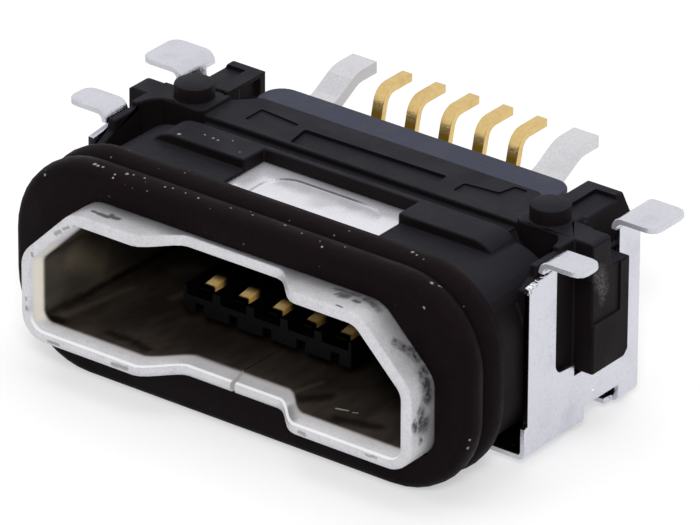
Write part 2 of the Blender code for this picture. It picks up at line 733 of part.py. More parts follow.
def make_contact_room(index):
    """A contact's open slot along the tongue, its tunnel in the base, and the notch under its nose."""
    middle = contact_x(index)
    slot_half = (CONTACT_PITCH - TONGUE_WALL) / 2
    slot_rear = SHELL_REAR - TONGUE_BASE_LENGTH
    slot = box((middle - slot_half, middle + slot_half), (TONGUE_FRONT - FIT, slot_rear),
               (SLOT_FLOOR, TONGUE_TOP + FIT))
    notch_half = TONGUE_NOTCH_WIDTH / 2
    notch = box((middle - notch_half, middle + notch_half),
                (TONGUE_FRONT - FIT, TONGUE_FRONT + TONGUE_NOTCH_LENGTH),
                (TONGUE_BOTTOM - FIT, TONGUE_BOTTOM + TONGUE_NOTCH_HEIGHT))
    return [
        add_object(f"contact_slot_{index + 1}", slot),
        add_object(f"tongue_notch_{index + 1}", notch),
        contact_tunnel(index, "base"),
    ]


def make_cover(finish):
    """A flat sheet folded into a U under the housing, with two solder feet turned out on each side."""
    outer_half = COVER_WIDTH / 2
    fold = COVER_FOLD + COVER_SHEET
    outer = rounded([
        (-outer_half, NECK_TOP, 0), (-outer_half, COVER_BOTTOM, fold),
        (outer_half, COVER_BOTTOM, fold), (outer_half, NECK_TOP, 0),
    ])
    inner = rounded([
        (COVER_INNER_HALF, NECK_TOP, 0), (COVER_INNER_HALF, COVER_TOP_OF_FLOOR, COVER_FOLD),
        (-COVER_INNER_HALF, COVER_TOP_OF_FLOOR, COVER_FOLD), (-COVER_INNER_HALF, NECK_TOP, 0),
    ])
    cover = add_object("cover", prism(outer + inner, "Y", COVER_FRONT, COVER_REAR), finish, 32)
    cut(cover, *[piece for side in (-1, 1) for piece in make_cover_cutters(side)])
    join(cover, *[make_foot(side, place) for side in (-1, 1) for place in ("front", "rear")])


def make_cover_cutters(side):
    """The lowered top at the front, the lug window, open at its top, and the reliefs at the fold."""
    name = "left" if side < 0 else "right"
    wall = sorted((side * (COVER_INNER_HALF - COVER_BEND), side * COVER_WIDTH))
    side_top = [
        (COVER_FRONT, COVER_SIDE_TOP[0]), (FRONT_NECK, COVER_SIDE_TOP[1]),
        (FRONT_NECK, BOARD_PLANE), (COVER_FRONT, BOARD_PLANE),
    ]
    set_back = box(wall, (COVER_FRONT - FIT, COVER_FRONT + COVER_SIDE_SET_BACK),
                   (COVER_SET_BACK_LOW, BOARD_PLANE))
    step = LUG_FRONT - LUG_NOTCH_LEAD
    notch_bottom = LUG_BOTTOM - 2 * FIT
    window = rounded([
        (COVER_WINDOW_FRONT, COVER_WINDOW_BOTTOM, COVER_WINDOW_CORNER), (step, COVER_WINDOW_BOTTOM, 0),
        (step, notch_bottom, 0), (COVER_WINDOW_REAR, notch_bottom, 0),
        (COVER_WINDOW_REAR, BOARD_PLANE, 0), (COVER_WINDOW_FRONT, BOARD_PLANE, 0),
    ])
    relief_top = COVER_BOTTOM + COVER_RELIEF_HEIGHT
    relief_y = (COVER_RELIEF_FRONT, COVER_RELIEF_FRONT + COVER_RELIEF_LENGTH)
    relief_z = (COVER_BOTTOM - FIT, relief_top)
    relief_x = sorted((side * (COVER_WIDTH / 2 - COVER_RELIEF_SET_BACK), side * COVER_WIDTH))
    notch_x = sorted((side * (COVER_WIDTH / 2 - FLOOR_NOTCH_DEPTH), side * COVER_WIDTH))
    notch_y = (COVER_RELIEF_FRONT, COVER_RELIEF_FRONT + FLOOR_NOTCH_LENGTH)
    return [
        add_object(f"cover_side_top_{name}", prism(side_top, "X", *wall)),
        add_object(f"cover_set_back_{name}", set_back),
        add_object(f"cover_window_{name}", prism(window, "X", *wall)),
        add_object(f"cover_relief_{name}", box(relief_x, relief_y, relief_z)),
        add_object(f"floor_notch_{name}", box(notch_x, notch_y, relief_z)),
    ]


def make_foot(side, place):
    """A neck that bends outwards into a flat solder foot with two rounded corners."""
    front, rear = FRONT_FOOT if place == "front" else REAR_FOOT
    middle = COVER_WIDTH / 2 - COVER_SHEET / 2
    bend = COVER_BEND + COVER_SHEET / 2
    foot_z = BOARD_PLANE - COVER_SHEET / 2
    start = NECK_TOP - FIT
    tip = COVER_WIDTH / 2 + (FRONT_FOOT_REACH if place == "front" else REAR_FOOT_REACH)
    path = [(middle, start, 0), (middle, foot_z, bend), (tip, foot_z, 0)]
    outline = [(side * a, b) for a, b in strip_outline(path, COVER_SHEET)]
    edit = prism(outline, "Y", front, rear)
    ends = [edge for edge in edit.edges if all(abs(abs(v.co.x) - tip) < FIT for v in edge.verts)
            and abs(edge.verts[0].co.z - edge.verts[1].co.z) > FIT]
    bmesh.ops.bevel(edit, geom=ends, offset=FOOT_CORNER, segments=ARC_STEPS // 2,
                     profile=0.5, affect="EDGES")
    name = "left" if side < 0 else "right"
    return add_object(f"foot_{place}_{name}", edit)


def main():
    clear_scene()
    frame = bpy.data.objects.new("socket_frame", None)
    bpy.context.collection.objects.link(frame)
    frame.location = (0, -TAIL_TIP / 2 * MM, -RING_BOTTOM * MM)
    shell_metal = material("shell_metal", (0.62, 0.61, 0.59), 0.32, 1.0)
    black_moulding = material("black_moulding", (0.018, 0.017, 0.019), 0.5, 0.0)
    seal_rubber = material("seal_rubber", (0.012, 0.010, 0.010), 0.62, 0.0)
    gold_plate = material("gold_plate", (0.83, 0.60, 0.25), 0.28, 1.0)
    tin_plate = material("tin_plate", (0.72, 0.72, 0.74), 0.3, 1.0)
    slate_moulding = material("slate_moulding", (0.05, 0.055, 0.085), 0.5, 0.0)
    make_inner_shell(shell_metal)
    make_housing(black_moulding)
    make_seal_ring(seal_rubber)
    make_tongue(black_moulding)
    make_rear_insulator(slate_moulding)
    for index in range(CONTACT_COUNT):
        make_contact(index, gold_plate)
    make_cover(tin_plate)


main()
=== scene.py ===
# %% [markdown]
# # A sealed micro-B socket, dressed for its portrait
# The socket is a rolled steel shell inside a black moulding, with a rubber ring round its mouth,
# a folded tin-plated cover under it and a row of gold-plated tails behind it. All its shapes are
# already solids in the frame. They could be modelled again here, but then they might drift from
# their real sizes. So this lesson keeps them and adds what shapes alone can't give: a camera and
# light, softened edges, and one finish for each real material, with its grain, stains and dust.

import math

import bmesh
import bpy
from mathutils import Matrix, Vector


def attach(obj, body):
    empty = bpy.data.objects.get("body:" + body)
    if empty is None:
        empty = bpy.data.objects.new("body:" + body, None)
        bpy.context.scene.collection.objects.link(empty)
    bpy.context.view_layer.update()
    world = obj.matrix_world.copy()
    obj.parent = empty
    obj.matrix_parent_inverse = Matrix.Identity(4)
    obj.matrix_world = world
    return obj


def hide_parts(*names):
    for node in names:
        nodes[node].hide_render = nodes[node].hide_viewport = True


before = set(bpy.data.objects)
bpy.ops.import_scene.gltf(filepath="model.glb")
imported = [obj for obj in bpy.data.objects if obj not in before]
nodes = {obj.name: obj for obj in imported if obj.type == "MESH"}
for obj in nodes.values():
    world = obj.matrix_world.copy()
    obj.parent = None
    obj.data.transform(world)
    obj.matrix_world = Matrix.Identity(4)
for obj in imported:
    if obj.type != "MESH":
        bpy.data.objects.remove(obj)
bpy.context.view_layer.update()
MM = 0.001
# The middle of the mouth, from which every place below is counted.
MOUTH = Vector((0.0, -3.30, 1.89)) * MM
print("Loaded", len(nodes), "solids:", ", ".join(sorted(nodes)))

# %% [markdown]
# ## The camera
# The photograph was taken from far away with a long lens, so parallel edges stay nearly parallel.
# A camera could be turned by eye until it fits. The angles below were solved instead from the
# corners of the mouth, whose real width is a standard size, so that the sizes can be trusted too.
# The camera stands to the right of the mouth and looks down on the socket.

# %% Aim the camera
TURN = math.radians(37.18)
LOOK_DOWN = math.radians(27.013)
ROLL = math.radians(0.301)
LENS_PIXELS = 8569.87
PIXELS_PER_MM = 65.55
SENSOR_MM = 36.0
IMAGE_WIDTH = 700
NEAREST_SEEN = 1.0 * MM
# The camera looks at a point behind the mouth, and was then shifted by less than 0.3 mm.
AIM = Vector((0.0, 3.0, 0.07)) * MM
SHIFT_RIGHT = -0.259 * MM
SHIFT_UP = 0.041 * MM

right = Vector((math.cos(TURN), math.sin(TURN), 0.0))
back = Vector((
    math.sin(TURN) * math.cos(LOOK_DOWN),
    -math.cos(TURN) * math.cos(LOOK_DOWN),
    math.sin(LOOK_DOWN),
))
up = back.cross(right)
distance = LENS_PIXELS / PIXELS_PER_MM * MM
stand = MOUTH + AIM + back * distance - right * SHIFT_RIGHT - up * SHIFT_UP

camera_data = bpy.data.cameras.new("camera")
camera_data.sensor_width = SENSOR_MM
camera_data.lens = LENS_PIXELS * SENSOR_MM / IMAGE_WIDTH
camera_data.clip_start = NEAREST_SEEN
camera = bpy.data.objects.new("camera", camera_data)
turned = Matrix((right, up, back)).transposed() @ Matrix.Rotation(ROLL, 3, "Z")
camera.matrix_world = Matrix.Translation(stand) @ turned.to_4x4()
bpy.context.scene.collection.objects.link(camera)
bpy.context.scene.camera = camera
print(f"Lens {camera_data.lens:.0f} mm, {distance / MM:.0f} mm away")

# %% [markdown]
# ## Colours and nodes
# A colour picked from a photograph is an sRGB value, while a shader works with linear light, so
# one function turns a hex colour into linear numbers. Nodes could be placed by hand in the shader
# editor. In a script, one small function is enough: it adds a node, sets what it is told to set
# and fills its inputs, so that each material below reads from top to bottom.


# %% Colours and nodes
def linear(hex_colour):
    """An sRGB colour such as "d0d1d2" as linear red, green, blue and a full alpha."""
    values = [int(hex_colour[i:i + 2], 16) / 255 for i in (0, 2, 4)]
    return (*[v / 12.92 if v <= 0.04045 else ((v + 0.055) / 1.055) ** 2.4 for v in values], 1.0)


def fill(node, inputs):
    """Fills inputs, named or in order, with numbers, hex colours, nodes or a node's outputs."""
    in_use = [socket for socket in node.inputs if socket.enabled]
    named = inputs if isinstance(inputs, dict) else dict(enumerate(inputs))
    for key, value in named.items():
        of_that_name = (socket for socket in in_use if socket.name == key)
        socket = in_use[key] if isinstance(key, int) else next(of_that_name)
        if isinstance(value, bpy.types.Node):
            value = next(output for output in value.outputs if output.enabled)
        if isinstance(value, bpy.types.NodeSocket):
            node.id_data.links.new(value, socket)
        else:
            socket.default_value = linear(value) if isinstance(value, str) else value


def add(tree, kind, inputs=(), **settings):
    """Adds a shader node of that kind with its settings, and fills its inputs."""
    made = tree.nodes.new(f"ShaderNode{kind}")
    for name, value in settings.items():
        setattr(made, name, value)
    fill(made, inputs)
    return made


print("Middle grey, 808080, is", round(linear("808080")[0], 3), "in linear light")

# %% [markdown]
# ## A plain white sky
# The photograph shows the socket on pure white, and its plated parts mirror an even white tent.
# A picture of a studio could be wrapped round the scene, but an even sky is as good and needs no
# file. It lights the shadows softly, and only the rays that come straight from the camera, off
# polished metal or through something clear see it as full white.


# %% White sky
def seen_by(tree, *kinds):
    """1 for the rays of the given kinds, 0 for the rest."""
    rays = add(tree, "LightPath").outputs
    seen = rays[kinds[0]]
    for kind in kinds[1:]:
        seen = add(tree, "Math", (seen, rays[kind]), operation="MAXIMUM")
    return seen


AMBIENT = 0.30
SHOWN = 1.0
world = bpy.data.worlds.new("white_sky")
bpy.context.scene.world = world
world.use_nodes = True
sky = world.node_tree
sky.nodes.clear()
seen = seen_by(sky, "Is Camera Ray", "Is Glossy Ray", "Is Transmission Ray")
strength = add(sky, "MapRange", {"Value": seen, "To Min": AMBIENT, "To Max": SHOWN})
background = add(sky, "Background", {"Strength": strength, "Color": "ffffff"})
add(sky, "OutputWorld", {"Surface": background})
print("The sky lights at", AMBIENT, "and shows at", SHOWN)

# %% [markdown]
# ## The floor
# In the photograph the socket stands on pure white. A lit card alone would come out a little
# grey, and a brighter lamp would bleach the socket. So the card glows slightly, for the camera and
# for reflections only, and its own colour still takes the socket's shadow.

# %% White floor
FLOOR_HALF = 600 * MM
FLOOR_GAP = 0.02 * MM
GLOW = 0.48
floor_mesh = bpy.data.meshes.new("floor")
floor_corners = [(-FLOOR_HALF, -FLOOR_HALF, 0), (FLOOR_HALF, -FLOOR_HALF, 0),
                 (FLOOR_HALF, FLOOR_HALF, 0), (-FLOOR_HALF, FLOOR_HALF, 0)]
floor_mesh.from_pydata(floor_corners, [], [(0, 1, 2, 3)])
floor = bpy.data.objects.new("floor", floor_mesh)
floor.location.z = -FLOOR_GAP
bpy.context.scene.collection.objects.link(floor)

paper = bpy.data.materials.new("white_card")
paper.use_nodes = True
tree = paper.node_tree
tree.nodes.clear()
seen = seen_by(tree, "Is Camera Ray", "Is Glossy Ray")
card = add(tree, "BsdfDiffuse", {"Color": "c8c8c8"})
glow = add(tree, "MapRange", {"Value": seen, "To Min": 0.0, "To Max": GLOW})
both = add(tree, "AddShader", (card, add(tree, "Emission", {"Strength": glow})))
add(tree, "OutputMaterial", {"Surface": both})
floor_mesh.materials.append(paper)
print("The floor is", 2 * FLOOR_HALF / MM, "mm across")

# %% [markdown]
# ## Two wide lamps
# In the photograph soft light comes from above and from the camera's side. The sky alone could
# light the socket, but without direction its forms would look flat. A wide lamp overhead lights the
# matte tops. A smaller lamp stands just above the camera: its rays pass under the upper lip and
# reach only the tips of the contacts, the near floor and the left wall, as in the photograph.
# Neither lamp shows in reflections, so that the plated parts mirror the white tent.


# %% Two wide lamps
def softbox(name, place_mm, size_mm, watts):
    """A square lamp that faces the socket; reflections show the white sky in its place."""
    data = bpy.data.lights.new(name, "AREA")
    data.shape = "SQUARE"
    data.size = size_mm * MM
    data.energy = watts
    lamp = bpy.data.objects.new(name, data)
    lamp.location = Vector(place_mm) * MM
    lamp.rotation_euler = lamp.location.to_track_quat("Z", "Y").to_euler()
    lamp.visible_glossy = False
    bpy.context.scene.collection.objects.link(lamp)
    print(f"{name}: {watts} W, {lamp.location.length / MM:.0f} mm away")


softbox("top_lamp", (-20, 30, 220), 240, 0.30)
softbox("camera_lamp", (108, -143, 130), 44, 0.24)

# %% [markdown]
# ## Places in millimetres
# On the real socket a stain or a scuff has its own place and size. A painted texture could put it
# there, but needs an unwrapped mesh and a picture. Here every pattern is scaled in real
# millimetres and placed by its distance from the middle of the mouth: one node turns the object's
# coordinates from metres into millimetres and moves their origin to the mouth.


# %% The start of a finish
def start_material(name):
    """A material, its nodes and shader, the surface's point in mm, its axes and its direction."""
    made = bpy.data.materials.new(name)
    made.use_nodes = True
    tree = made.node_tree
    tree.nodes.clear()
    spot = add(tree, "TexCoord").outputs["Object"]
    point = add(tree, "VectorMath", (spot, (1 / MM,) * 3, tuple(-MOUTH / MM)),
                operation="MULTIPLY_ADD")
    faces = add(tree, "NewGeometry").outputs["True Normal"]
    shader = add(tree, "BsdfPrincipled")
    add(tree, "OutputMaterial", {"Surface": shader})
    place = add(tree, "SeparateXYZ", (point,)).outputs
    facing = add(tree, "SeparateXYZ", (faces,)).outputs
    return made, tree, shader, point, place, facing


# %% Masks, coats and relief
def eased(tree, *factors):
    """The product of its factors. Each is a number, a socket, or a value with its low and high
    end, between which it eases from 0 to 1, or from a fourth number to a fifth."""
    product = None
    for factor in factors:
        if isinstance(factor, tuple):
            value, low, high, *results = factor
            start, end = results or (0.0, 1.0)
            ends = {"From Min": low, "From Max": high, "To Min": start, "To Max": end}
            factor = add(tree, "MapRange", {"Value": value, **ends},
                         interpolation_type="SMOOTHSTEP")
        if product is None:
            product = factor
        else:
            product = add(tree, "Math", (product, factor), operation="MULTIPLY")
    return product


def coated(tree, tone, *coats):
    """Covers a tone with each coat in turn, a colour where its mask is 1."""
    for mask, colour in coats:
        tone = add(tree, "Mix", (mask, tone, colour), data_type="RGBA")
    return tone


def relief(tree, *bumps, under=None):
    """Bumps on top of each other, each with its pattern of heights and its depth in mm."""
    for height, depth_mm in bumps:
        inputs = {"Height": height, "Strength": 1.0, "Distance": depth_mm * MM}
        if under:
            inputs["Normal"] = under
        under = add(tree, "Bump", inputs)
    return under


# %% [markdown]
# ## Spots and strokes
# Lint is round, and a rub is long. Both could be modelled as tiny meshes, but they are only
# hundredths of a millimetre across and belong to the surface. So each is drawn in the material:
# the distance to a place, or to the line between two places, is divided by the mark's radius, and
# the smallest result says how near the closest mark is. A noise pushes the point about first, so
# that the outlines come out ragged.


# %% Marks at given places
FAR_AWAY = 9.0
SPOT_EDGE = (1.3, 0.7)


def wavered(tree, point, ragged, per_mm, detail):
    """The point, pushed up to that many millimetres to and fro."""
    wobble = add(tree, "TexNoise", {"Vector": point, "Scale": per_mm, "Detail": detail})
    shift = add(tree, "VectorMath", (wobble.outputs["Color"], (2 * ragged,) * 3, (-ragged,) * 3),
                operation="MULTIPLY_ADD")
    return add(tree, "VectorMath", (point, shift), operation="ADD")


def closest(tree, marks):
    """The smallest of the distances to the marks, each counted in the mark's own radius."""
    nearest = FAR_AWAY
    for distance_mm, radius in marks:
        reach = add(tree, "Math", (distance_mm, radius), operation="DIVIDE")
        nearest = add(tree, "Math", (reach, nearest), operation="MINIMUM")
    return nearest


def spots(tree, point, places, ragged, per_mm):
    """1 inside the spots (x, y, z, radius) in millimetres, 0 outside."""
    moved = wavered(tree, point, ragged, per_mm, detail=2.0)
    marks = [(add(tree, "VectorMath", (moved, (x, y, z)), operation="DISTANCE"), radius)
             for x, y, z, radius in places]
    return eased(tree, (closest(tree, marks), *SPOT_EDGE))


def strokes(tree, point, lines, ragged, per_mm, soft):
    """1 along the strokes (start, end, radius) in millimetres, 0 away from them."""
    moved = wavered(tree, point, ragged, per_mm, detail=3.0)
    marks = []
    for start, end, radius in lines:
        along = Vector(end) - Vector(start)
        from_start = add(tree, "VectorMath", (moved, start), operation="SUBTRACT")
        share = add(tree, "VectorMath", (from_start, along / along.length ** 2),
                    operation="DOT_PRODUCT")
        foot = add(tree, "VectorMath", (along, add(tree, "Clamp", (share,))), operation="SCALE")
        away = add(tree, "VectorMath", (from_start, foot), operation="DISTANCE")
        marks.append((away, radius))
    return eased(tree, (closest(tree, marks), 1.0 + soft, 1.0 - soft))


# %% [markdown]
# ## Black glass-filled nylon
# The housing and the tongue are injection-moulded in black nylon with short glass fibres. The
# mould was spark-eroded, which leaves a fine grain of a few hundredths of a millimetre and a
# matte surface. Real displacement could make that grain, with millions of faces; a bump is enough
# at this size, and it is drawn a little coarser here, 17 waves to the millimetre, so that it
# shows. Handling leaves pale dust on the raised bars, and the clamp of the machine has scuffed
# the face of the lug. The tops are painted a lighter, bluish black and the sides a darker one, as
# painted light from the pale ceiling, and the tongue, deep in the mouth, is painted near black as
# shade.

# %% Housing finish
black, tree, shader, point, place, facing = start_material("black_nylon_moulding")
grain = add(tree, "TexNoise", {"Vector": point, "Scale": 17.0, "Detail": 4.0, "Roughness": 0.65})
flow = add(tree, "TexNoise", {"Vector": point, "Scale": 1.3, "Detail": 2.0, "Roughness": 0.55})
# Painted light: the sides get a darker brownish black, the up-facing tops a lighter bluish one.
shaded_sides = coated(tree, "0f0b0d", (grain, "1a1518"))
lit_tops = coated(tree, "18181d", (grain, "232329"))

LUG_FACE = 4.45
lug_dust = [((LUG_FACE, 3.74, 0.93), (LUG_FACE, 3.86, 0.60), 0.12),
            ((LUG_FACE, 3.80, 0.66), (LUG_FACE, 3.84, 0.46), 0.07)]
hairs = add(tree, "TexNoise", {"Vector": point, "Scale": 34.0, "Detail": 2.0, "Roughness": 0.55})
scuff = strokes(tree, point, lug_dust, ragged=0.10, per_mm=7.0, soft=0.7)
scuff = eased(tree, scuff, (hairs, 0.40, 0.75, 0.10, 0.60))
pad_dust = [(-2.81, 2.78, 1.45, 0.030), (-2.31, 2.99, 1.44, 0.022), (-2.21, 2.98, 1.44, 0.020),
            (-2.48, 3.00, 1.44, 0.016), (-1.69, 2.86, 1.44, 0.014), (-2.02, 3.10, 1.44, 0.014)]
dust = spots(tree, point, pad_dust, ragged=0.012, per_mm=30.0)

# The tongue: where it starts and ends behind the lip, and how high and how far out it reaches.
TONGUE_FROM, TONGUE_TO, TONGUE_TOP, TONGUE_OUT = (1.30, 1.34), (4.9, 4.8), (0.5, 0.4), (2.4, 2.3)
half_across = add(tree, "Math", (place["X"],), operation="ABSOLUTE")
tongue_in_shade = eased(tree, (place["Y"], *TONGUE_FROM), (place["Y"], *TONGUE_TO),
                  (place["Z"], *TONGUE_TOP), (half_across, *TONGUE_OUT))
# Painted shade: the tongue, deep in the mouth, is painted near black.
tone = coated(tree, shaded_sides, (eased(tree, (facing["Z"], 0.5, 0.95)), lit_tops), (scuff, "8c8a8c"),
              (dust, "9a9798"), (tongue_in_shade, "040303"))
fill(shader, {
    "Base Color": tone,
    "Roughness": eased(tree, (flow, 0.3, 0.7, 0.46, 0.60)),
    "IOR": 1.53,  # nylon
    "Specular IOR Level": 0.06,
    "Normal": relief(tree, (flow, 0.010), (grain, 0.006)),
})
print("Housing finish:", len(tree.nodes), "nodes")

# %% [markdown]
# ## Silicone rubber
# The ring is moulded silicone, softer and duller than the nylon. Its surface is a little oily and
# picks up lint: single pale specks, most of them along the crest of the front rib, where it rubs
# against the case that it seals. Chance could scatter them all, but then the ones that the eye
# knows from the photograph would be missing. So the large ones are placed one by one, and only
# the finest dust comes from a cell pattern. The rubber's own grain is finer than the render can
# show, and is drawn with 13 waves to the millimetre.

# %% Seal finish
rubber, tree, shader, point, place, _ = start_material("black_silicone_rubber")
grain = add(tree, "TexNoise", {"Vector": point, "Scale": 13.0, "Detail": 4.0, "Roughness": 0.6})
cloud = add(tree, "TexNoise", {"Vector": point, "Scale": 1.6, "Detail": 3.0, "Roughness": 0.55})
crest_lint = [
    (-2.86, 0.78, 1.70, 0.030), (-2.79, 0.77, 1.70, 0.026), (-2.70, 0.78, 1.70, 0.022),
    (-2.42, 0.72, 1.68, 0.018), (-2.26, 0.81, 1.70, 0.026), (-2.15, 0.84, 1.71, 0.016),
    (-2.41, 0.66, 1.65, 0.018), (-1.95, 0.86, 1.71, 0.020), (-1.53, 0.82, 1.70, 0.020),
    (-1.40, 0.85, 1.71, 0.016), (-1.15, 0.84, 1.71, 0.014), (-0.90, 0.83, 1.70, 0.018),
    (-0.30, 0.86, 1.71, 0.014), (0.10, 0.88, 1.71, 0.018), (0.68, 0.92, 1.70, 0.022),
    (1.05, 0.85, 1.71, 0.014), (1.53, 0.72, 1.68, 0.020), (1.83, 0.89, 1.71, 0.018),
    (2.73, 1.37, 1.71, 0.024), (2.83, 1.34, 1.70, 0.018), (3.43, 0.91, 1.60, 0.030),
    (3.52, 0.98, 1.56, 0.022), (3.52, 0.60, 1.34, 0.022), (-3.71, 0.62, 1.32, 0.022),
    (4.30, 0.72, -0.67, 0.020), (4.27, 0.72, -0.82, 0.024),
]
lint = spots(tree, point, crest_lint, ragged=0.014, per_mm=26.0)
cells = add(tree, "TexVoronoi", {"Vector": point, "Scale": 7.0}, feature="F1")
cell_number = add(tree, "SeparateXYZ", (cells.outputs["Color"],))
fine_dust = eased(tree, (cell_number, 0.78, 0.80), (cells.outputs["Distance"], 0.15, 0.07),
                  (place["Z"], 0.9, 1.6), 0.45)
specks = add(tree, "Math", (lint, fine_dust), operation="MAXIMUM")
tone = coated(tree, "090506", (grain, "150e10"),
              (eased(tree, (cloud, 0.45, 0.8, 0.0, 0.5)), "1c1416"), (specks, "908b8a"))
fill(shader, {
    "Base Color": tone,
    "Roughness": eased(tree, (cloud, 0.3, 0.7, 0.50, 0.66)),
    "IOR": 1.41,  # silicone
    "Specular IOR Level": 0.06,
    "Normal": relief(tree, (grain, 0.006)),
})
print("Seal finish:", len(tree.nodes), "nodes,", len(crest_lint), "pieces of lint placed")

# %% [markdown]
# ## Nickel-plated steel
# The shell is stamped from sheet steel and nickel-plated: a soft, silvery satin, never a mirror.
# A single metal with one roughness could stand for it, but plating shows clouds and a fine salt
# of bright and dull grains. The part that shows through the housing's window was never touched,
# so it is paler and smoother, with the housing's shadow along its rear edge. The salt is drawn
# with 26 waves to the millimetre, as fine as the render can show.

# %% Shell finish
nickel, tree, shader, point, place, facing = start_material("nickel_plated_steel")
grain = add(tree, "TexNoise", {"Vector": point, "Scale": 26.0, "Detail": 3.0, "Roughness": 0.7})
cloud = add(tree, "TexNoise", {"Vector": point, "Scale": 2.4, "Detail": 4.0, "Roughness": 0.6})
# The window: where it starts and ends behind the lip, and the height of the sheet in it.
WINDOW_FROM, WINDOW_TO, SHELL_TOP = (1.4, 1.8), (4.8, 4.6), (0.98, 1.08)
clean_top = eased(tree, (place["Y"], *WINDOW_FROM), (place["Y"], *WINDOW_TO),
                  (place["Z"], *SHELL_TOP))
rear_shade = eased(tree, (place["Y"], 2.98, 3.26, 0.0, 0.6), (place["X"], -1.1, 0.0, 0.1, 1.0),
                   clean_top)
plating = coated(tree, "cccbcf", (eased(tree, (grain, 0.3, 0.7)), "dad9dd"),
                 (eased(tree, (cloud, 0.45, 0.8, 0.0, 0.25)), "b3b0b1"),
                 (eased(tree, clean_top, 0.8), "e9e8ef"), (rear_shade, "78706f"))
print("Plating:", len(tree.nodes), "nodes so far")

# %% [markdown]
# ## Grease on the lip
# Plugs have rubbed dark grease onto the lip, and the wings carry blurred marks of the forming
# tool. A noise could spread such marks everywhere, but on the real lip most of the metal is
# clean, so each mark is a stroke of its own. The strokes are sharp on the front and on the top,
# and the smudges on the right wing are soft and broken up.

# %% Where the marks are
FRONT = 0.0
lip_strokes = [
    ((-2.52, 0.30, 1.20), (-2.36, 0.29, 1.20), 0.030),
    ((-2.38, 0.29, 1.20), (-2.20, 0.28, 1.20), 0.045),
    ((-2.21, 0.38, 1.19), (-2.16, 0.34, 1.19), 0.040),
    ((-2.20, 0.32, 1.19), (-2.05, 0.33, 1.20), 0.050),
    ((-3.00, FRONT, 0.78), (-2.92, FRONT, 0.84), 0.034),
    ((-2.84, FRONT, 0.91), (-2.76, FRONT, 0.96), 0.026),
    ((-2.66, 0.02, 1.02), (-2.56, 0.05, 1.04), 0.022),
    ((-3.47, FRONT, 0.30), (-3.47, FRONT, 0.26), 0.022),
    ((-3.60, FRONT, -0.50), (-3.60, FRONT, -0.54), 0.018),
    ((-3.59, FRONT, -0.66), (-3.59, FRONT, -0.70), 0.026),
    ((-3.17, FRONT, -1.11), (-2.98, FRONT, -1.11), 0.026),
    ((-1.92, FRONT, -1.10), (-1.64, FRONT, -1.09), 0.034),
    ((2.16, 0.40, 1.19), (2.22, 0.42, 1.19), 0.075),
    ((2.40, 0.38, 1.19), (2.47, 0.38, 1.19), 0.045),
    ((2.05, 0.36, 1.19), (2.10, 0.46, 1.19), 0.025),
    ((2.28, 0.10, 1.20), (2.38, 0.09, 1.20), 0.018),
    ((1.66, FRONT, -1.10), (1.76, FRONT, -1.10), 0.032),
    ((2.92, FRONT, -1.07), (3.10, FRONT, -1.06), 0.020),
]
smudges = [
    ((3.20, 0.36, 0.74), (3.28, 0.44, 0.66), 0.07), ((3.36, 0.52, 0.58), (3.42, 0.54, 0.50), 0.09),
    ((3.60, 0.50, 0.34), (3.68, 0.46, 0.20), 0.11), ((3.69, 0.44, 0.18), (3.72, 0.45, -0.02), 0.13),
    ((3.72, 0.29, -0.16), (3.72, 0.28, -0.50), 0.08),
    ((3.72, 0.14, -0.34), (3.72, 0.16, -0.46), 0.06),
    ((3.72, 0.40, -0.40), (3.72, 0.38, -0.50), 0.08),
    ((3.72, 0.27, -0.66), (3.72, 0.27, -0.70), 0.04),
    ((2.52, 0.52, 1.19), (2.80, 0.46, 1.16), 0.06), ((1.95, 0.52, 1.19), (2.35, 0.54, 1.19), 0.04),
]
print("Marks on the lip:", len(lip_strokes), "sharp and", len(smudges), "soft")

# %% Grease on the lip
breaks = add(tree, "TexNoise", {"Vector": point, "Scale": 9.0, "Detail": 4.0, "Roughness": 0.7})
rubbed = strokes(tree, point, lip_strokes, ragged=0.018, per_mm=9.0, soft=0.75)
blur = strokes(tree, point, smudges, ragged=0.05, per_mm=9.0, soft=0.85)
blur = eased(tree, blur, (breaks, 0.34, 0.60, 0.45, 1.0))
# The grease is drawn darker on the lip's top than on its front.
rubbed_by_facing = eased(tree, rubbed, (facing["Z"], 0.5, 0.9, 0.42, 0.85))
flecks = add(tree, "TexNoise", {"Vector": point, "Scale": 7.0, "Detail": 5.0, "Roughness": 0.75})
mottle = eased(tree, (place["Y"], 0.62, 0.35), (flecks, 0.50, 0.75, 0.0, 0.28))
# Painted shade: the top of the lip is painted darker towards the ring that stands behind it.
ring_shade = eased(tree, (place["Y"], 0.28, 0.60, 0.0, 0.42), (place["Y"], 1.0, 0.8),
                (facing["Z"], 0.75, 0.95))
lip = coated(tree, plating, (rubbed_by_facing, "3f3b3a"), (blur, "4c4a52"), (mottle, "807e83"),
             (ring_shade, "6f6d72"))
print("Lip:", len(tree.nodes), "nodes so far")

# %% [markdown]
# ## Where the inside begins
# The lip's middle is cut back, so a plain distance from the front would put the oil's edge in the
# wrong place there. A second material could cover the inside, but its border would be as sharp as
# the mesh. So the depth is measured from the lip's own edge, and a surface counts as turned
# inward where its direction points back to the middle of the cavity.

# %% Depth and inward faces
CAVITY_HALF_WIDTH = 3.45
height = place["Z"]
half_across = add(tree, "Math", (place["X"],), operation="ABSOLUTE")
half_height = add(tree, "Math", (height,), operation="ABSOLUTE")
slant = add(tree, "Math", (half_across, height), operation="ADD")
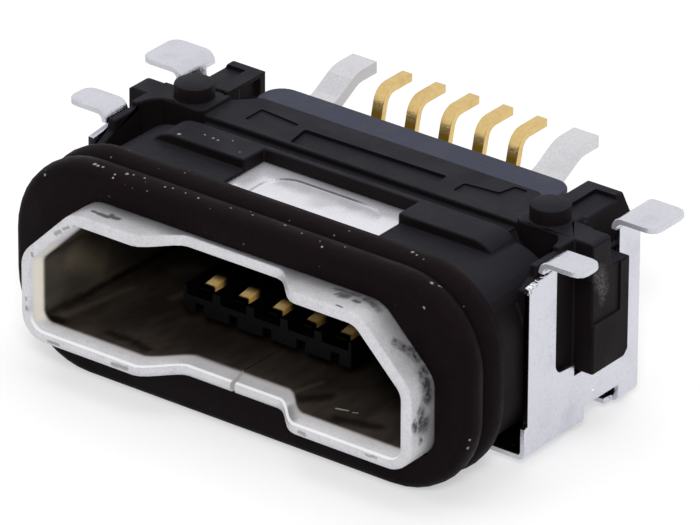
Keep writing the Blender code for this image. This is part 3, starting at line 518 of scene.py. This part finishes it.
# The cavity's outline: its sides, its floor and ceiling, and its slanted upper corners.
CAVITY_SIDE, CAVITY_CEILING, CAVITY_SLANT = (3.50, 3.47), (0.97, 0.945), (3.63, 3.60)
in_outline = eased(tree, (half_across, *CAVITY_SIDE), (half_height, *CAVITY_CEILING),
                   (slant, *CAVITY_SLANT))
CUT_BACK = 0.50
setback = eased(tree, (half_across, 0.85, 1.55, CUT_BACK, 0.0))
depth = add(tree, "Math", (place["Y"], setback), operation="SUBTRACT")
inside = eased(tree, in_outline, (depth, 0.24, 0.30))
beside = add(tree, "Math", (eased(tree, facing["X"], place["X"]), CAVITY_HALF_WIDTH),
             operation="DIVIDE")
outward = add(tree, "Math", (eased(tree, facing["Z"], height), beside), operation="ADD")
inward = eased(tree, (outward, -0.10, -0.40))
print("Depth is measured from the lip,", CUT_BACK, "mm further back in the middle")

# %% [markdown]
# ## Oil inside the shell
# Inside, where no cloth reaches, the sheet is brown with oil, darkest in the corner between the
# floor and the wall, with pools near the mouth, wiped streaks and two bright scratches. A flat
# brown would look painted. So the brown is streaked along the cavity, because plugs wipe it in
# that direction, and the darker and paler places are laid over it one by one.

# %% The brown of the floor and the wall
stretched = add(tree, "VectorMath", (point, (1.6, 0.6, 1.6)), operation="MULTIPLY")
streaks = add(tree, "TexNoise",
              {"Vector": stretched, "Scale": 1.6, "Detail": 4.0, "Roughness": 0.6})
wall = eased(tree, (place["X"], -3.36, -3.42))
# The oil is real; the wall's paler brown is painted light on the lit side of the cavity.
lit_wall_oil = coated(tree, "756d63", (eased(tree, (streaks, 0.30, 0.75)), "8b8276"))
floor_oil = coated(tree, "534a43", (eased(tree, (streaks, 0.35, 0.68)), "6c625a"))
print("Oil: a brown for the floor and a paler one for the wall")

# %% Pools, wiped streaks and scratches
FLOOR = -0.93
# Painted highlight: a pale streak of light along the left wall.
wall_highlight_line = [((-3.45, 1.05, -0.15), (-3.45, 1.60, -0.50), 0.20)]
wall_highlight = strokes(tree, point, wall_highlight_line, ragged=0.05, per_mm=3.0, soft=0.95)
corner_lines = [((-3.46, 0.26, -0.86), (-3.42, 1.10, -0.89), 0.080),
                ((-3.42, 1.10, -0.89), (-3.40, 3.60, -0.91), 0.060),
                ((-3.44, 0.30, -0.88), (-3.22, 0.36, FLOOR), 0.110)]
corner = strokes(tree, point, corner_lines, ragged=0.025, per_mm=5.0, soft=0.85)
pool_lines = [((-2.35, 0.52, FLOOR), (-2.02, 0.50, FLOOR), 0.09),
              ((-1.86, 0.50, FLOOR), (-1.60, 0.44, FLOOR), 0.10),
              ((2.05, 0.42, FLOOR), (2.70, 0.60, FLOOR), 0.10),
              ((1.25, 0.62, FLOOR), (1.50, 0.90, FLOOR), 0.12)]
pools = strokes(tree, point, pool_lines, ragged=0.08, per_mm=4.0, soft=0.8)
wiped_lines = [((-3.28, 0.55, FLOOR), (-3.05, 1.90, FLOOR), 0.07),
               ((0.95, 0.42, FLOOR), (1.15, 1.20, FLOOR), 0.05),
               ((-2.9, 2.8, FLOOR), (-2.7, 3.0, FLOOR), 0.14),
               ((-2.33, 2.0, FLOOR), (-2.30, 2.2, FLOOR), 0.07)]
wiped = strokes(tree, point, wiped_lines, ragged=0.04, per_mm=6.0, soft=0.9)
scratch_lines = [((1.84, 0.68, FLOOR), (2.02, 0.73, FLOOR), 0.020),
                 ((2.12, 0.73, FLOOR), (2.18, 0.76, FLOOR), 0.016)]
scratch = strokes(tree, point, scratch_lines, ragged=0.01, per_mm=20.0, soft=0.4)
oil = coated(tree, floor_oil, (wall, lit_wall_oil), (eased(tree, wall_highlight, 0.65), "cbbb9c"),
             (eased(tree, corner, 0.9), "20150e"), (eased(tree, pools, 0.75), "1c140e"),
             (eased(tree, wiped, 0.28), "b3a795"), (scratch, "fffaf0"))
print("Oil: pools", len(pool_lines), "and wiped streaks", len(wiped_lines))

# %% [markdown]
# ## The turn of the lip
# Between the clean lip and the oily inside, the sheet rolls over into a narrow lead-in that guides
# the plug. Seen closely it is painted darker with depth as shade and lighter on the left as
# painted light, and a painted highlight runs where the lower edge turns; painted shade also lies
# across the step of the lower lip and along the window's crease. These bands could be separate
# strips of mesh with materials of their own. They are masks here, because they fade into each
# other over hundredths of a millimetre.

# %% Bands of the lead-in, the window's crease and the seam
# Painted shade: the lead-in is painted darker with depth.
lead_in_shade = eased(tree, inward, (depth, 0.06, 0.27, 0.0, 0.75))
# Painted shade across the step of the lower lip.
bend_shade_line = [((1.42, 0.12, -1.05), (1.18, 0.34, -0.97), 0.10)]
bend_shade = strokes(tree, point, bend_shade_line, ragged=0.02, per_mm=4.0, soft=0.9)
# Painted light: the left side of the roll is painted paler and creamier.
left_roll_light = eased(tree, (facing["X"], 0.4, 0.9), (depth, 0.05, 0.14), (place["X"], -3.0, -3.2))
# Painted shade along the forward-facing crease of the window.
crease_shade = eased(tree, (facing["Y"], -0.4, -0.8), (place["Y"], 1.7, 1.8),
               (place["X"], 0.75, 0.35, 0.2, 0.85))
# Painted highlight: a bright line where the lower edge of the lip turns.
rim_highlight = eased(tree, (depth, 0.080, 0.055), (depth, 0.006, 0.018), (inward, 0.0, 0.3, 0.0, 0.85),
            (height, -0.70, -0.95))
sideways = add(tree, "Math", (facing["X"],), operation="ABSOLUTE")
seam = eased(tree, (half_across, 0.08, 0.06), (sideways, 0.5, 0.8), (depth, 0.34, 0.26))
tone = coated(tree, lip, (lead_in_shade, "b5b1b1"), (eased(tree, bend_shade, inward, 0.8), "6f6b6a"),
              (left_roll_light, "e0dacd"), (inside, oil), (crease_shade, "5f5d62"), (rim_highlight, "fdfdfe"),
              (seam, "d2cfcf"))
print("Shell colours:", len(tree.nodes), "nodes so far")

# %% [markdown]
# ## How the plating shines and lies
# The lip is satin, and further in the sheet is polished; oil and grease make it a little duller.
# The surface waves slightly, a dent lies in the window, and the salt of the plating is a fine
# relief. The rolled lip is so narrow that the solid gives it few faces. More faces could be added
# there, but leaning the shading direction forward does the same for the eye: the turned-in
# surfaces then mirror the bright front, as the real round one does.

# %% Shine and relief of the shell
shine = eased(tree, (place["Y"], 0.6, 1.6, 0.44, 0.27))
for dulling in (eased(tree, (cloud, 0.3, 0.7, -0.03, 0.06)), eased(tree, rubbed, 0.20),
                eased(tree, inside, 0.06)):
    shine = add(tree, "Math", (shine, dulling), operation="ADD")
forward = eased(tree, inward, (depth, 0.32, 0.16, 0.0, 1.2), -1.0)
forward = add(tree, "CombineXYZ", {"Y": forward})
normal = add(tree, "NewGeometry").outputs["Normal"]
leaned = add(tree, "VectorMath", (normal, forward), operation="ADD")
leaned = add(tree, "VectorMath", (leaned,), operation="NORMALIZE")
wave = add(tree, "TexNoise", {"Vector": point, "Scale": 0.9, "Detail": 2.0, "Roughness": 0.55})
dent_line = [((0.15, 2.40, 1.16), (0.45, 2.70, 1.17), 0.30)]
dent = strokes(tree, point, dent_line, ragged=0.05, per_mm=1.0, soft=0.95)
folds = add(tree, "TexNoise", {"Vector": point, "Scale": 2.6, "Detail": 0.0, "Roughness": 0.55})
crumple = eased(tree, dent, folds)
salt = eased(tree, grain, (clean_top, 0.0, 0.6, 1.0, 0.0))
fill(shader, {
    "Base Color": tone,
    "Metallic": eased(tree, (seam, 0.0, 1.0, 0.85, 0.0), (clean_top, 0.0, 1.0, 1.0, 0.55)),
    "Roughness": shine,
    "Normal": relief(tree, (wave, 0.030), (crumple, 0.018), (salt, 0.0018), under=leaned),
})
print("Shell finish:", len(tree.nodes), "nodes")

# %% [markdown]
# ## Gold flash over bronze
# The contacts are sheared from phosphor bronze and flashed with gold. Plating is thin, so the
# colour is a little brown. The sheared front end of each contact is painted dark as shade, and so
# is each contact behind its nose. One gold with one roughness could stand for it all, but a full
# metal mirrors only the white tent here. So the nose of each contact, which takes the lamp's
# light, and the front of each riser, painted darker as shade, are drawn less metallic. The grain
# is drawn with 15 waves to the millimetre, coarser than the real one, so that it shows.

# %% Contact finish
gold, tree, shader, point, place, facing = start_material("gold_plated_bronze")
grain = add(tree, "TexNoise", {"Vector": point, "Scale": 15.0, "Detail": 3.0, "Roughness": 0.55})
cloud = add(tree, "TexNoise", {"Vector": point, "Scale": 3.0, "Detail": 3.0, "Roughness": 0.55})
PITCH = 0.65
CONTACTS = 5
CONTACT_TOP = -0.17
# Painted shade: the sheared front end of each contact is painted dark.
sheared_end_shade = eased(tree, (place["Y"], 1.63, 1.58))
nose = eased(tree, (place["Y"], 1.59, 1.65), (place["Y"], 1.94, 1.72))
noses = [((index - CONTACTS // 2) * PITCH - 0.01, 1.70, CONTACT_TOP, 0.085)
         for index in range(CONTACTS)]
glints = spots(tree, point, noses, ragged=0.02, per_mm=8.0)
# Painted shade: each contact behind its nose is painted dark brown.
shade_behind_nose = eased(tree, (place["Y"], 1.76, 2.00), (place["Y"], 5.0, 4.9))
# Painted shade: the front of each riser is painted darker.
riser_shade = eased(tree, (place["Y"], 5.4, 5.5), (place["Z"], 1.22, 1.10), (facing["Y"], -0.5, -0.8))
tone = coated(tree, "cdab67", (grain, "e4ca90"),
              (eased(tree, (cloud, 0.5, 0.8, 0.0, 0.5)), "ba9555"), (sheared_end_shade, "0d0905"),
              (nose, "ffc76a"), (eased(tree, glints, 0.6), "ffebb4"), (shade_behind_nose, "3c2808"),
              (riser_shade, "86671f"))
less_metal = add(tree, "Math", (nose, eased(tree, riser_shade, 0.65)), operation="MAXIMUM")
fill(shader, {
    "Base Color": tone,
    "Metallic": add(tree, "Math", (1.0, less_metal), operation="SUBTRACT"),
    "Roughness": eased(tree, (cloud, 0.3, 0.7, 0.24, 0.34)),
    "Normal": relief(tree, (grain, 0.005)),
})
print("Contact finish:", len(tree.nodes), "nodes,", len(noses), "noses")

# %% [markdown]
# ## Tin-plated sheet
# The cover is folded from tin-plated sheet. Matte tin is a pale blue-grey with a soft crystal
# grain and faint rolling lines along the sheet. Its cut front edge shows the base metal, painted
# dark brown as shade, and shearing has left a burr of beads on the sloping top of that edge,
# painted white as highlights. The burr could be a mesh of drops; it is finer than a tenth of a
# millimetre, so spots with a relief are enough. The crystals are drawn with 19 waves to the
# millimetre, which is about as fine as they are.

# %% Cover finish
tin, tree, shader, point, place, facing = start_material("tin_plated_sheet")
grain = add(tree, "TexNoise", {"Vector": point, "Scale": 19.0, "Detail": 3.0, "Roughness": 0.55})
cloud = add(tree, "TexNoise", {"Vector": point, "Scale": 2.0, "Detail": 4.0, "Roughness": 0.6})
drawn_out = add(tree, "VectorMath", (point, (1.0, 0.3, 6.0)), operation="MULTIPLY")
lines = add(tree, "TexNoise",
            {"Vector": drawn_out, "Scale": 3.0, "Detail": 3.0, "Roughness": 0.55})
# Painted shade: the cut front edge is painted dark brown.
cut_edge_shade = eased(tree, (facing["Y"], -0.6, -0.9), (place["Z"], -1.19, -1.15),
                 (place["Y"], 2.36, 2.33))
burr = [(4.16, 2.30, 1.12, 0.060), (4.17, 2.36, 1.17, 0.050), (4.16, 2.46, 1.19, 0.060),
        (4.16, 2.58, 1.21, 0.055), (4.15, 2.70, 1.22, 0.050), (4.15, 2.84, 1.22, 0.045),
        (4.22, 3.97, -1.21, 0.030)]
# The burr's beads are real, and their white is a painted highlight.
beads = spots(tree, point, burr, ragged=0.02, per_mm=20.0)
foot_rim = eased(tree, (facing["Y"], -0.5, -0.8), (place["Z"], 1.20, 1.30))
tone = coated(tree, "c6c7d0", (grain, "d9d9e1"),
              (eased(tree, (cloud, 0.48, 0.75, 0.0, 0.35)), "b4b5c0"), (cut_edge_shade, "35292a"),
              (beads, "fafafa"))
fill(shader, {
    "Base Color": tone,
    "Metallic": eased(tree, (foot_rim, 0.0, 1.0, 1.0, 0.45)),
    "Roughness": eased(tree, (cloud, 0.3, 0.7, 0.22, 0.30)),
    "Normal": relief(tree, (lines, 0.006), (beads, 0.02), (grain, 0.005)),
})
print("Cover finish:", len(tree.nodes), "nodes,", len(burr), "beads of burr")

# %% [markdown]
# ## Slate moulding
# The insulator behind the housing comes from another mould, in a blue-grey polymer that stands
# the heat of soldering. It could share the nylon's material with another colour, but its surface
# is a little rougher, so it has a short finish of its own. Its moulded grain is as fine as the
# housing's, and is drawn with 17 waves to the millimetre too.

# %% Insulator finish
slate, tree, shader, point, _, _ = start_material("slate_polymer_moulding")
grain = add(tree, "TexNoise", {"Vector": point, "Scale": 17.0, "Detail": 4.0, "Roughness": 0.6})
cloud = add(tree, "TexNoise", {"Vector": point, "Scale": 1.5, "Detail": 3.0, "Roughness": 0.55})
tone = coated(tree, "262836", (grain, "333648"),
              (eased(tree, (cloud, 0.45, 0.75, 0.0, 0.5)), "3d4154"))
fill(shader, {
    "Base Color": tone,
    "Roughness": eased(tree, (cloud, 0.3, 0.7, 0.5, 0.62)),
    "IOR": 1.6,  # heat-proof polymers
    "Specular IOR Level": 0.2,
    "Normal": relief(tree, (grain, 0.007)),
})
print("Insulator finish:", len(tree.nodes), "nodes")

# %% [markdown]
# ## Softened copies of the solids
# The frame's solids are made of flat triangles with knife-sharp edges. No real edge is like that:
# a mould leaves a small radius and a stamped sheet has a rounded rim. The edges could be rounded
# in the solids, which would make them heavy for no use. Each piece is rebuilt from its solid
# instead: the triangles of one flat face are merged, curved faces are shaded smooth, and a Bevel
# modifier rounds the sharp edges, which then catch the light. An edge is rounded only where both
# its faces are wide enough to give up that much of their width. A Weighted Normal modifier then
# keeps the large faces flat to the eye.

# %% A clean mesh
FLAT_UNDER = math.radians(0.4)
SAME_POINT = 0.0004 * MM
ROUND_OVER = math.radians(38)
ROOM_FOR_BEVEL = 2.5


def clean_mesh(node, edge_mm, smooth_under):
    """A solid's mesh with its flat faces merged, and its edges marked smooth or for rounding."""
    solid = nodes[node]
    edit = bmesh.new()
    corners = [edit.verts.new(v.co) for v in solid.data.vertices]
    for face in solid.data.polygons:
        edit.faces.new([corners[i] for i in face.vertices])
    bmesh.ops.remove_doubles(edit, verts=edit.verts, dist=SAME_POINT)
    bmesh.ops.dissolve_limit(edit, angle_limit=FLAT_UNDER, verts=edit.verts, edges=edit.edges)
    weight = edit.edges.layers.float.new("bevel_weight_edge")
    for edge in edit.edges:
        turn = edge.calc_face_angle(0.0)
        edge.smooth = turn < smooth_under
        room = min(face.calc_area() for face in edge.link_faces) / edge.calc_length()
        if turn > ROUND_OVER and room > ROOM_FOR_BEVEL * edge_mm * MM:
            edge[weight] = 1.0
    for face in edit.faces:
        face.smooth = True
    mesh = bpy.data.meshes.new(f"{node}_soft")
    edit.to_mesh(mesh)
    edit.free()
    print(f"{node}: {len(solid.data.polygons)} triangles became {len(mesh.polygons)} faces")
    return mesh


# %% A softened piece
SMOOTH_UNDER = math.radians(32)
BEVEL_STEPS = 2
LARGE_FACES_ONLY = 100


def softened(node, finish, edge_mm, smooth_under=SMOOTH_UNDER):
    """Makes a clean copy of a solid with rounded edges, which stands for it."""
    mesh = clean_mesh(node, edge_mm, smooth_under)
    mesh.materials.append(finish)
    piece = bpy.data.objects.new(f"{node}_soft", mesh)
    bpy.context.scene.collection.objects.link(piece)
    if edge_mm:
        rounding = piece.modifiers.new("rounded_edges", "BEVEL")
        rounding.width = edge_mm * MM
        rounding.segments = BEVEL_STEPS
        rounding.limit_method = "WEIGHT"
        rounding.use_clamp_overlap = False
        levelled = piece.modifiers.new("level_faces", "WEIGHTED_NORMAL")
        levelled.weight = LARGE_FACES_ONLY
        levelled.keep_sharp = True
    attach(piece, "root")
    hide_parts(node)


# %% [markdown]
# ## Dressing each piece
# Each solid now gets its softened copy. One radius for all would be simpler, but the real edges
# differ by how they are made: wide on the moulded housing, narrow on sheared metal. The shell
# needs none, because its rolled lip is already in the solid, and the ring's ribs are round by
# themselves, so they are only shaded smooth over wider turns.

# %% Dress the solids
PIECES = (
    ("housing", "black_moulding", black, 0.030, SMOOTH_UNDER),
    ("tongue", "black_moulding", black, 0.012, SMOOTH_UNDER),
    ("seal_ring", "seal_rubber", rubber, 0.0, math.radians(50)),
    ("inner_shell", "shell_metal", nickel, 0.0, SMOOTH_UNDER),
    ("cover", "tin_plate", tin, 0.016, SMOOTH_UNDER),
    ("rear_insulator", "slate_moulding", slate, 0.030, SMOOTH_UNDER),
)
for node, slot, finish, edge_mm, smooth_under in PIECES:
    softened(node, finish, edge_mm, smooth_under)
for index in range(CONTACTS):
    softened(f"contact_{index + 1}", gold, 0.015)

# %% [markdown]
# ## The view
# Blender can bend colours as film does. The plain Standard view is used here, so that a colour
# renders as it is written.

# %% View and finish
bpy.context.scene.view_settings.view_transform = "Standard"
